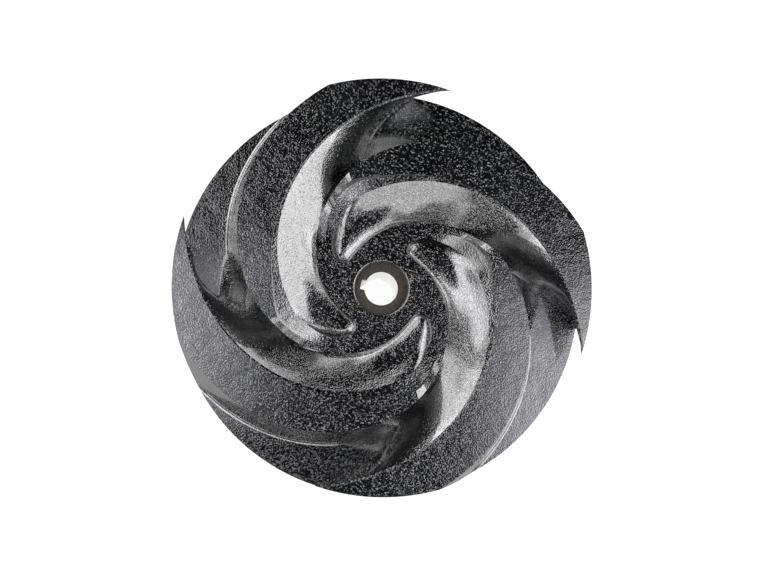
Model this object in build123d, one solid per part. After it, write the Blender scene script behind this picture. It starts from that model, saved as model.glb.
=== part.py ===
from build123d import *
import os
from math import cos, radians, sin, sqrt

# Semi-open pump impeller: one casting with a back disc, a hub and four twisted, backward-curved vanes.
# Millimetres and degrees.  +Z points to the suction side, the open front.  The origin is on the shaft
# axis, on the machined face at the back of the hub, which the part rests on.

# ---- driving dimensions -------------------------------------------------------------------------
OUTER_RADIUS = 172.5          # vane tips and disc, turned in one cut
DISC_TO_FRONT = 59.5          # face of the disc at the rim to the front of the vanes
DISC_THICKNESS = 10.0         # at the rim
RIM_CHAMFER = 1.0             # at the back of the rim
DISC_FLAT_FROM = 138.0        # the face of the disc is flat from this radius to the rim

BOSS_RADIUS = 34.0            # machined boss at the back of the hub
BOSS_LENGTH = 14.0
BOSS_FILLET = 8.0             # between the boss and the back of the disc
BOSS_CHAMFER = 1.0

HUB_BELOW_FRONT = 24.0        # cast floor of the hub, round the nut seat
HUB_FLAT_TO = 78.0            # the hub is flat to this radius, then falls to the disc
SEAT_RADIUS = 22.4            # machined seat of the impeller nut
SEAT_DEPTH = 5.0              # of the seat below the hub floor
SEAT_LIP = 1.5                # round edge of the hub floor at the seat

BORE_DIAMETER = 28.0
KEY_WIDTH = 8.0               # DIN 6885 key for a 28 mm shaft
KEYWAY_DEPTH = 3.3            # above the bore
KEYWAY_ANGLE = 168.0          # from +X, counter-clockwise seen from the front

VANE_COUNT = 4
TIP_ANGLE = 71.0              # where the inner edge of the first vane's land meets the rim
LAND_ARC = 34.0               # of the rim that one land takes up
CONVEX_PITCH = 0.816          # fall of the land's outer edge, per degree
CONCAVE_PITCH = 1.2075        # fall of the land's inner edge at the tip, per degree
CONCAVE_EASE = 0.0035         # by which that fall eases, per degree
CONVEX_LEAN = 9.5             # the outer wall stands this much wider on the disc than at the land
ROOT_FLARE = 4.0              # the outer wall runs out onto the disc over this width
ROOT_FLARE_SHARE = 0.4        # and over no more than this share of a low wall
LAND_DRAFT = 0.3              # the step from the land to its shoulder leans back by this share
NARROWEST_LAND = 1.5

INLET_FROM = 196.0            # the land's inner edge closes in on the hub from here
INLET_PITCH = 0.6             # its fall, per degree
LAND_END_FROM = 191.0         # the land drops to its shoulder over these angles
LAND_END_TO = 212.0
LAND_END_STEP = 0.2           # left between the land and its shoulder there
NOSE_FROM = 227.0             # the tongue's nose is rounded off from here
NOSE_TO = 238.5
NOSE_RADIUS = 43.0            # of the circle round the shaft that the nose ends on

# The inner wall turns from undercut at the tip, through a slope at the eye, to a tongue on the hub.
# At each angle: width of the shoulder along the land's edge, its depth at the land and at the wall,
# radius and depth of the middle of the wall, radius of its foot, and the wall's slopes at the top,
# the middle and the foot.
WALL = {
    60: (1.5, 0.6, 1.0, 193.5, 30.0, 200.7, 104, 104, 95),
    72: (1.5, 0.6, 1.0, 178.5, 30.0, 185.8, 104, 104, 95),
    83: (1.5, 0.6, 1.0, 160.0, 25.0, 165.0, 80, 100, 80),
    91: (1.5, 0.6, 1.0, 143.5, 21.0, 138.0, 66, 74, 45),
    100: (1.5, 0.6, 1.0, 127.5, 17.0, 110.0, 50, 54, 22),
    110: (1.5, 0.6, 1.0, 116.5, 12.5, 94.0, 42, 37, 24),
    120: (1.5, 0.6, 1.0, 109.5, 9.5, 83.5, 40, 30, 26),
    135: (2.0, 0.6, 1.1, 97.0, 9.8, 73.5, 36, 31, 32),
    150: (3.5, 0.7, 1.5, 81.5, 11.0, 62.3, 34, 33, 42),
    165: (5.5, 1.1, 2.6, 71.0, 13.2, 54.7, 33, 31, 55),
    180: (8.5, 2.5, 4.6, 62.0, 15.6, 47.1, 32, 14, 70),
    192: (13.0, 5.5, 8.0, 60.0, 16.8, 42.6, 25, 4, 80),
    205: (17.0, 13.0, 15.0, 58.0, 17.2, 38.6, -10, -2, 82),
    216: (17.0, 20.5, 22.0, 54.0, 17.2, 36.2, -48, -8, 82),
    228: (13.0, 24.0, 24.5, 47.5, 17.2, 35.0, -52, -12, 82),
    240: (13.0, 24.0, 24.5, 43.0, 17.5, 34.5, -52, -12, 82),
}

# The vane is lofted through sections at these angles, then at these shares of its nose.
BLADE_ANGLES = (58, 66, 74, 81, 87, 93, 99, 105, 112, 120, 129, 139, 150, 160, 170, 180, 188, 196, 204,
                212, 219)
NOSE_SHARES = (0.0, 0.4, 0.7, 0.9, 0.99)
FALL_STEPS = 6                # the fall of the hub is a spline through this many spans

disc_back = BOSS_LENGTH
disc_face = disc_back + DISC_THICKNESS
front = disc_face + DISC_TO_FRONT
hub_floor = front - HUB_BELOW_FRONT
seat_height = hub_floor - SEAT_DEPTH
vane_root = disc_back + DISC_THICKNESS / 2
cast_over = 2.0               # the lands are cast this much over height, and faced off
buried = 0.5                  # the walls end this much below the floor


def ease(t):
    """Smooth step from 0 to 1."""
    t = min(max(t, 0.0), 1.0)
    return t * t * (3 - 2 * t)


# ---- back disc and hub --------------------------------------------------------------------------
def floor_height(radius):
    """Height of the cast floor between the vanes: flat hub, smooth fall, flat disc."""
    t = (radius - HUB_FLAT_TO) / (DISC_FLAT_FROM - HUB_FLAT_TO)
    return hub_floor + (disc_face - hub_floor) * ease(t)


def circles_at(part, radius, height):
    """The part's round edges of this radius at this height."""
    level = part.edges().filter_by_position(Axis.Z, height - 0.001, height + 0.001)
    return [edge for edge in level.filter_by(GeomType.CIRCLE) if abs(edge.radius - radius) < 0.001]


def disc_and_hub():
    reach = HUB_FLAT_TO - DISC_FLAT_FROM
    fall = [DISC_FLAT_FROM + reach * i / FALL_STEPS for i in range(FALL_STEPS + 1)]
    with BuildPart() as body:
        with BuildSketch(Plane.XZ):
            with BuildLine():
                Polyline((SEAT_RADIUS, hub_floor), (SEAT_RADIUS, seat_height), (0, seat_height), (0, 0),
                         (BOSS_RADIUS, 0), (BOSS_RADIUS, disc_back), (OUTER_RADIUS, disc_back),
                         (OUTER_RADIUS, disc_face), (DISC_FLAT_FROM, disc_face))
                Spline(*[(radius, floor_height(radius)) for radius in fall], tangents=((-1, 0), (-1, 0)))
                Line((HUB_FLAT_TO, hub_floor), (SEAT_RADIUS, hub_floor))
            make_face()
        revolve(axis=Axis.Z)
        fillet(circles_at(body, SEAT_RADIUS, hub_floor), SEAT_LIP)
        fillet(circles_at(body, BOSS_RADIUS, disc_back), BOSS_FILLET)
        chamfer(circles_at(body, BOSS_RADIUS, 0), BOSS_CHAMFER)
        chamfer(circles_at(body, OUTER_RADIUS, disc_back), RIM_CHAMFER)
    return body.part


# ---- vanes --------------------------------------------------------------------------------------
def convex_radius(angle):
    """Outer edge of the land: an Archimedean spiral."""
    return OUTER_RADIUS - CONVEX_PITCH * (angle - TIP_ANGLE - LAND_ARC)


def concave_radius(angle):
    """Inner edge of the land: a spiral that flattens towards the eye, then closes in on the hub."""
    turn = min(angle, INLET_FROM) - TIP_ANGLE
    past = max(angle - INLET_FROM, 0.0)
    return OUTER_RADIUS - CONCAVE_PITCH * turn + CONCAVE_EASE * turn * turn - INLET_PITCH * past


def wall_values(angle):
    """The table of the inner wall, joined by smooth curves."""
    angles = sorted(WALL)
    i = max(k for k, a in enumerate(angles[:-1]) if a <= angle or k == 0)
    near = [angles[min(max(i + k, 0), len(angles) - 1)] for k in (-1, 0, 1, 2)]
    span = near[2] - near[1]
    t = (angle - near[1]) / span
    values = []
    for before, start, end, after in zip(*(WALL[a] for a in near)):
        leave = (end - before) / (near[2] - near[0]) * span
        arrive = (after - start) / (near[3] - near[1]) * span
        values.append((2 * t**3 - 3 * t**2 + 1) * start + (t**3 - 2 * t**2 + t) * leave
                      + (3 * t**2 - 2 * t**3) * end + (t**3 - t**2) * arrive)
    return values


def section_plane(angle):
    """Half plane through the shaft axis: x is the radius, y is the height."""
    a = radians(angle)
    return Plane(origin=(0, 0, 0), x_dir=(cos(a), sin(a), 0), z_dir=(sin(a), -cos(a), 0))


def step(place, slope, length):
    """A place further up a slope that rises outwards."""
    return place[0] + length * cos(radians(slope)), place[1] + length * sin(radians(slope))


def apart(a, b):
    return sqrt((a[0] - b[0]) ** 2 + (a[1] - b[1]) ** 2)


def wall_curve(low, low_slope, high, high_slope):
    """Bezier curve down a wall, from its high end to its low end, with these slopes."""
    reach = apart(low, high) / 3
    return [high, step(high, high_slope, -reach), step(low, low_slope, reach), low]


def inner_wall(angle):
    """Shoulder, upper wall and lower wall, from the land to the floor."""
    width, land_step, depth, mid_radius, mid_depth, foot, *slopes = wall_values(angle)
    slope_top, slope_mid, slope_foot = slopes
    nose = min(max(angle - NOSE_FROM, 0.0) / (NOSE_TO - NOSE_FROM), 1.0)
    share = sqrt(1.0 - nose * nose)
    radii = (concave_radius(angle), mid_radius, foot)
    edge, mid_radius, foot = (NOSE_RADIUS + (radius - NOSE_RADIUS) * share for radius in radii)
    low = floor_height(foot) - buried
    shoulder = (edge + width - LAND_DRAFT * land_step, front - land_step)
    crease = (edge, front - depth)
    middle = (mid_radius, low + (front - mid_depth - low) * share)
    upper_wall = wall_curve(middle, slope_mid, crease, slope_top)
    lower_wall = wall_curve((foot, low), slope_foot, middle, slope_mid)
    return shoulder, upper_wall, lower_wall


def vane_section(angle):
    shoulder, upper_wall, lower_wall = inner_wall(angle)
    outer = convex_radius(angle)
    shoulder = (min(shoulder[0], outer - 2 * NARROWEST_LAND), shoulder[1])
    drop = ease((angle - LAND_END_FROM) / (LAND_END_TO - LAND_END_FROM))
    top = front + cast_over - drop * (front + cast_over - shoulder[1] - LAND_END_STEP)
    inner = min(shoulder[0] + LAND_DRAFT * (top - shoulder[1]), outer - NARROWEST_LAND)
    wide = outer + CONVEX_LEAN
    root = wide + ROOT_FLARE
    floor = floor_height(root)
    foot = lower_wall[-1]
    flare_top = floor + min(ROOT_FLARE, ROOT_FLARE_SHARE * max(top - floor, buried))
    with BuildSketch(section_plane(angle)) as section:
        with BuildLine():
            Bezier(*upper_wall)
            Bezier(*lower_wall)
            Polyline(foot, (foot[0], vane_root), (root, vane_root), (root, floor - buried))
            Bezier((root, floor - buried), (wide, floor), (wide, flare_top))
            Polyline((wide, flare_top), (outer, top), (inner, top), shoulder, upper_wall[0])
        make_face()
    return section.sketch.faces()[0]


def vane():
    """The first vane: a loft along its sweep, faced off at the front and turned at the tip."""
    nose_angles = [NOSE_FROM + (NOSE_TO - NOSE_FROM) * share for share in NOSE_SHARES]
    blank = loft([vane_section(angle) for angle in (*BLADE_ANGLES, *nose_angles)])
    return blank & Cylinder(OUTER_RADIUS, front, align=(Align.CENTER, Align.CENTER, Align.MIN))


# ---- machining ----------------------------------------------------------------------------------
def bore_and_keyway():
    reach = BORE_DIAMETER / 2 + KEYWAY_DEPTH
    bore = Cylinder(BORE_DIAMETER / 2, seat_height, align=(Align.CENTER, Align.CENTER, Align.MIN))
    keyway = Box(reach, KEY_WIDTH, seat_height, align=(Align.MIN, Align.CENTER, Align.MIN))
    return bore + keyway.rotate(Axis.Z, KEYWAY_ANGLE)


def impeller():
    casting = disc_and_hub()
    first_vane = vane()
    for i in range(VANE_COUNT):
        casting = casting + first_vane.rotate(Axis.Z, 360.0 / VANE_COUNT * i)
    casting = casting - bore_and_keyway()
    casting.label = "impeller"
    return casting


os.makedirs("parts", exist_ok=True)
export_step(impeller(), "parts/impeller.step")
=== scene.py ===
from math import pi, tan

import bpy
from mathutils import Matrix, Vector


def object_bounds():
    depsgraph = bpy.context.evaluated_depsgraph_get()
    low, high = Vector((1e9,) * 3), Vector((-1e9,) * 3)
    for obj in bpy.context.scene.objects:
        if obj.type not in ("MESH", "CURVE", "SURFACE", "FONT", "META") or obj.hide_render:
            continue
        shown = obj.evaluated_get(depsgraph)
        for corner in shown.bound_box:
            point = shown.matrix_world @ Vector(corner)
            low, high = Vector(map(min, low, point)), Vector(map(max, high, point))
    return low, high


# Pump impeller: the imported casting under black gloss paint, on a white floor, seen down its suction side.
# Metres and radians, in the part's own frame.

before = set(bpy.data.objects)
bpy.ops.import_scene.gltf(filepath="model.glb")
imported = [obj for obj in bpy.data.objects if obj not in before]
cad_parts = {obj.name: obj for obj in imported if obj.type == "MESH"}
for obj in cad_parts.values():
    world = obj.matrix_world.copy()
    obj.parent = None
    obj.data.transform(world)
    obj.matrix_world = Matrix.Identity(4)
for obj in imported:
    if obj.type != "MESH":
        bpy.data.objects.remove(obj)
cad_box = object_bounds()

# ---- sizes of the part ---------------------------------------------------------------------------
FRONT = cad_box[1][2]                   # front plane of the vanes
RADIUS = cad_box[1][0]                  # tips of the vanes
HUB_FLOOR = FRONT - 0.024
SEAT_RADIUS = 0.0224
SEAT = HUB_FLOOR - 0.005                # machined seat of the nut, below the hub floor
KEYWAY_REACH = 0.0173                   # from the axis to the bottom of the keyway
MACHINING_EDGE = 0.0002                 # over which paint gives way to bare metal

# ---- camera, from the perspective of the photo -----------------------------------------------------
TILT = (-0.07238, 0.104)                # of the line of sight off the part's axis
AIM_OFF = (-0.00023, -0.00188)          # middle of the front plane off the picture's middle, over distance
DISTANCE = 7.59285 * RADIUS             # to the front plane
LENS, SENSOR = 75.0, 36.0               # millimetres

# ---- surroundings; a level of 1 is white -----------------------------------------------------------
WHITE = (1, 1, 1, 1)
FLOOR_HALF = 4.0
FLOOR_COLOUR = (0.2, 0.2, 0.2, 1)       # dark, so that it throws little light back on the casting
FLOOR_SEEN = 0.9                        # its own glow, as the camera sees it
FLOOR_MIRRORED = 0.1                    # and as the casting mirrors it
FLOOR_BRIGHT_WITHIN = (0.03, 0.06)      # it is mirrored white inside the bore, up to here
RING_LEVEL = 4.0                        # bright band round the horizon
RING_TOP = (0.12, 0.28)                 # where the band fades out, as the sine of its elevation
PANEL_FADE = 0.25                       # share of a panel's side over which it fades out

COOL = (0.93, 0.93, 1.0)
NEUTRAL = (1.0, 1.0, 1.0)
# Soft panels close to the casting: place, facing, width, height, level, colour.
PANELS = {
    "right_wall": ((0.72, -0.15, 0.52), (-1, 0.21, -0.15), 1.9, 1.10, 4.2, NEUTRAL),
    "left_wall": ((-0.60, 0.20, 0.87), (1, -0.33, -0.8), 1.5, 0.62, 4.2, NEUTRAL),
    "far_left_wall": ((-0.60, 0.74, 0.36), (0.81, -1, -0.1), 1.7, 0.72, 4.2, NEUTRAL),
    "near_left_wall": ((-0.82, -0.60, 0.30), (1.36, 1, 0), 1.1, 0.60, 4.0, NEUTRAL),
    "near_wall": ((0.03, -0.72, 0.74), (0, 1, -0.8), 0.65, 0.50, 4.0, NEUTRAL),
    "left_roof": ((-0.32, -0.01, 0.45), (0, 0, -1), 0.54, 0.25, 2.2, COOL),
    "right_roof": ((0.34, -0.11, 0.45), (0, 0, -1), 0.50, 0.38, 3.0, COOL),
}

# ---- paint and metal -------------------------------------------------------------------------------
BLACKS = ((0.002, 0.002, 0.0025, 1), (0.006, 0.006, 0.007, 1))
BLACK_SCALE = 35.0
TURNED_METALS = ((0.05, 0.043, 0.035, 1), (0.15, 0.135, 0.12, 1))
TURNED_SCALE = 300.0
BORE_METAL = (0.9, 0.9, 0.88, 1)
BARE_METALLIC = 0.9
PAINT_ROUGHNESS, BARE_ROUGHNESS = 0.10, 0.38
PAINT_IOR = 1.9
COAT_ROUGHNESS, COAT_IOR = 0.05, 1.6

# The rough skin under the paint: scales are per metre, heights are shares of the skin's depth.
SKIN_DEPTH = 0.0008
GRAIN_SCALE, GRAIN_HEIGHT = 780.0, 0.42
WAVE_SCALE, WAVE_HEIGHT = 60.0, 1.5
COARSE_PIMPLES = (540.0, 0.62, 0.34)    # scale, share of the cells left smooth, height
FINE_PIMPLES = (820.0, 0.50, 0.22)
PIMPLE_REACH = (0.50, 0.05)             # foot and top of a pimple, from the middle of its cell


# ---- node helpers ----------------------------------------------------------------------------------
class Nodes:
    """Short calls for building a node tree."""

    def __init__(self, tree):
        tree.nodes.clear()
        self.tree = tree

    def add(self, kind, links=None, **values):
        node = self.tree.nodes.new(kind)
        for name, value in values.items():
            setattr(node, name, value)
        for socket, source in (links or {}).items():
            self.put(node.inputs[socket], source)
        return node

    def put(self, socket, source):
        if isinstance(source, bpy.types.NodeSocket):
            self.tree.links.new(source, socket)
        else:
            socket.default_value = source

    def math(self, operation, *terms):
        return self.add("ShaderNodeMath", dict(enumerate(terms)), operation=operation).outputs[0]

    def span(self, value, start, end):
        """Smooth step from 0 where the value is at the start to 1 at the end."""
        return self.add("ShaderNodeMapRange", {0: value, 1: start, 2: end},
                        interpolation_type="SMOOTHSTEP").outputs[0]

    def mix(self, share, a, b):
        return self.add("ShaderNodeMix", {0: share, 6: a, 7: b}, data_type="RGBA").outputs[2]

    def noise(self, place, scale, detail, roughness=0.5):
        return self.add("ShaderNodeTexNoise", {"Vector": place, "Scale": scale, "Detail": detail,
                                               "Roughness": roughness}).outputs[0]


# ---- camera ----------------------------------------------------------------------------------------
def add_camera():
    """Look down the suction side, a little off the axis, with the part's X level in the picture."""
    part_z = -Vector((tan(TILT[0]), tan(TILT[1]), 1.0)).normalized()
    part_x = Vector((1, 0, 0))
    part_x = (part_x - part_x.dot(part_z) * part_z).normalized()
    part_y = part_z.cross(part_x)
    axes = Matrix((part_x, part_y, part_z))        # the part's axes, as the camera sees them
    to_front = Vector((*AIM_OFF, 1.0)) * DISTANCE
    place = Vector((0, 0, FRONT)) - axes @ to_front
    turn = axes @ Matrix(((1, 0, 0), (0, -1, 0), (0, 0, -1)))
    camera = bpy.data.objects.new("camera", bpy.data.cameras.new("camera"))
    camera.matrix_world = Matrix.Translation(place) @ turn.to_4x4()
    camera.data.lens, camera.data.sensor_width = LENS, SENSOR
    camera.data.clip_end = 20.0
    bpy.context.collection.objects.link(camera)
    bpy.context.scene.camera = camera


# ---- floor and light -------------------------------------------------------------------------------
def floor_material():
    """A dark floor that the camera sees white, and that the casting mirrors white in its bore alone."""
    material, n = new_material("white_floor")
    path = n.add("ShaderNodeLightPath").outputs
    place = n.add("ShaderNodeTexCoord").outputs["Object"]
    off_axis = n.add("ShaderNodeVectorMath", {0: place}, operation="LENGTH").outputs["Value"]
    bright_within, dark_from = FLOOR_BRIGHT_WITHIN
    mirrored = n.math("MAXIMUM", n.span(off_axis, dark_from, bright_within), FLOOR_MIRRORED)
    seen = n.math("MAXIMUM", path["Is Camera Ray"], path["Is Transmission Ray"])
    level = n.math("MAXIMUM", n.math("MULTIPLY", seen, FLOOR_SEEN),
                   n.math("MULTIPLY", path["Is Glossy Ray"], mirrored))
    diffuse = n.add("ShaderNodeBsdfDiffuse", {"Color": FLOOR_COLOUR})
    glow = n.add("ShaderNodeEmission", {"Color": WHITE, "Strength": level})
    both = n.add("ShaderNodeAddShader", {0: diffuse.outputs[0], 1: glow.outputs[0]})
    n.add("ShaderNodeOutputMaterial", {"Surface": both.outputs[0]})
    return material


def add_floor():
    s = FLOOR_HALF
    mesh = bpy.data.meshes.new("floor")
    mesh.from_pydata([(-s, -s, 0), (s, -s, 0), (s, s, 0), (-s, s, 0)], [], [(0, 1, 2, 3)])
    mesh.materials.append(floor_material())
    floor = bpy.data.objects.new("floor", mesh)
    bpy.context.collection.objects.link(floor)


def add_world():
    """A black studio with a bright band round the horizon; the camera sees plain white."""
    world = bpy.data.worlds.new("studio")
    bpy.context.scene.world = world
    world.use_nodes = True
    n = Nodes(world.node_tree)
    direction = n.add("ShaderNodeTexCoord").outputs["Generated"]
    height = n.add("ShaderNodeSeparateXYZ", {0: direction}).outputs[2]
    full_below, gone_from = RING_TOP
    ring = n.math("MULTIPLY", n.span(height, gone_from, full_below), RING_LEVEL)
    path = n.add("ShaderNodeLightPath").outputs
    band = n.add("ShaderNodeBackground", {"Color": WHITE, "Strength": ring})
    plain = n.add("ShaderNodeBackground", {"Color": WHITE, "Strength": 1.0})
    both = n.add("ShaderNodeMixShader", {0: path["Is Camera Ray"], 1: band.outputs[0], 2: plain.outputs[0]})
    n.add("ShaderNodeOutputWorld", {"Surface": both.outputs[0]})


def soften_edges(lamp):
    """Let the panel fade out towards its edges."""
    lamp.use_nodes = True
    n = Nodes(lamp.node_tree)
    across = n.add("ShaderNodeNewGeometry").outputs["Parametric"]
    sides = n.add("ShaderNodeSeparateXYZ", {0: across}).outputs[:2]
    from_edge = [n.math("MINIMUM", side, n.math("SUBTRACT", 1.0, side)) for side in sides]
    fade = n.math("MULTIPLY", *(n.span(share, 0.0, PANEL_FADE) for share in from_edge))
    glow = n.add("ShaderNodeEmission", {"Color": WHITE, "Strength": fade})
    n.add("ShaderNodeOutputLight", {"Surface": glow.outputs[0]})


def add_panel(name, place, facing, width, height, level, colour):
    """A flat light at a place, turned to face along a direction; the width stays level."""
    lamp = bpy.data.lights.new(name, "AREA")
    lamp.shape = "RECTANGLE"
    lamp.size, lamp.size_y = width, height
    lamp.energy = level * pi * width * height
    lamp.color = colour
    soften_edges(lamp)
    panel = bpy.data.objects.new(name, lamp)
    turn = (-Vector(facing)).to_track_quat("Z", "Y").to_matrix().to_4x4()
    panel.matrix_world = Matrix.Translation(place) @ turn
    panel.visible_camera = False
    bpy.context.collection.objects.link(panel)


# ---- material --------------------------------------------------------------------------------------
def new_material(name):
    material = bpy.data.materials.new(name)
    material.use_nodes = True
    return material, Nodes(material.node_tree)


def pimple_field(n, place, scale, smooth_share, height):
    """Round pimples of mixed height, one to a cell, with some of the cells left smooth."""
    cells = n.add("ShaderNodeTexVoronoi", {"Vector": place, "Scale": scale}, feature="F1").outputs
    pick = n.add("ShaderNodeSeparateXYZ", {0: cells["Color"]}).outputs[0]
    top = n.math("MULTIPLY", n.span(pick, smooth_share - 0.1, smooth_share + 0.3), height)
    return n.math("MULTIPLY", n.span(cells["Distance"], *PIMPLE_REACH), top)


def machined_faces(n, radius, height):
    """Shares of bare metal over the whole casting, and of bore wall."""
    within_seat = n.span(radius, SEAT_RADIUS + MACHINING_EDGE, SEAT_RADIUS - MACHINING_EDGE)
    seat = n.math("MULTIPLY", within_seat, n.span(height, HUB_FLOOR - 0.0015, HUB_FLOOR - 0.003))
    boss_face = n.span(height, 0.0006, 0.0002)
    bare = n.math("MAXIMUM", seat, boss_face)
    within_bore = n.math("MULTIPLY", bare, n.span(radius, KEYWAY_REACH + MACHINING_EDGE, KEYWAY_REACH))
    below_seat = n.span(height, SEAT - 0.0001, SEAT - 0.0003)
    return bare, n.math("MULTIPLY", within_bore, below_seat)


def cast_skin(n, place):
    """Height of the rough-cast skin: fine grain, pimples and waves."""
    grain = n.math("MULTIPLY", n.noise(place, GRAIN_SCALE, 0.0), GRAIN_HEIGHT)
    pimples = n.math("ADD", pimple_field(n, place, *COARSE_PIMPLES), pimple_field(n, place, *FINE_PIMPLES))
    waves = n.math("MULTIPLY", n.noise(place, WAVE_SCALE, 2.0), WAVE_HEIGHT)
    return n.math("ADD", n.math("ADD", grain, pimples), waves)


def casting_material():
    """Black gloss paint over rough-cast iron, bare where the hub was machined."""
    material, n = new_material("black_cast_iron")
    place = n.add("ShaderNodeTexCoord").outputs["Object"]
    x, y, height = n.add("ShaderNodeSeparateXYZ", {0: place}).outputs
    radius = n.math("SQRT", n.math("ADD", n.math("POWER", x, 2), n.math("POWER", y, 2)))
    bare, bore_wall = machined_faces(n, radius, height)
    painted = n.math("SUBTRACT", 1.0, bare)

    black = n.mix(n.span(n.noise(place, BLACK_SCALE, 3.0, 0.6), 0.35, 0.7), *BLACKS)
    turned = n.mix(n.noise(place, TURNED_SCALE, 3.0, 0.6), *TURNED_METALS)
    rough = n.add("ShaderNodeBump", {"Strength": 1.0, "Distance": SKIN_DEPTH,
                                     "Height": n.math("MULTIPLY", cast_skin(n, place), painted)})
    shader = n.add("ShaderNodeBsdfPrincipled", {
        "Base Color": n.mix(bore_wall, n.mix(bare, black, turned), BORE_METAL),
        "Metallic": n.math("MULTIPLY", bare, BARE_METALLIC),
        "Roughness": n.math("MULTIPLY_ADD", bare, BARE_ROUGHNESS - PAINT_ROUGHNESS, PAINT_ROUGHNESS),
        "IOR": PAINT_IOR,
        "Coat Weight": painted,
        "Coat Roughness": COAT_ROUGHNESS,
        "Coat IOR": COAT_IOR,
        "Normal": rough.outputs[0],
    })
    n.add("ShaderNodeOutputMaterial", {"Surface": shader.outputs[0]})
    return material


def dress_casting():
    material = casting_material()
    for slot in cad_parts["impeller"].material_slots:
        slot.material = material


add_camera()
add_floor()
add_world()
for name, panel in PANELS.items():
    add_panel(name, *panel)
dress_casting()
bpy.context.scene.view_settings.view_transform = "Standard"
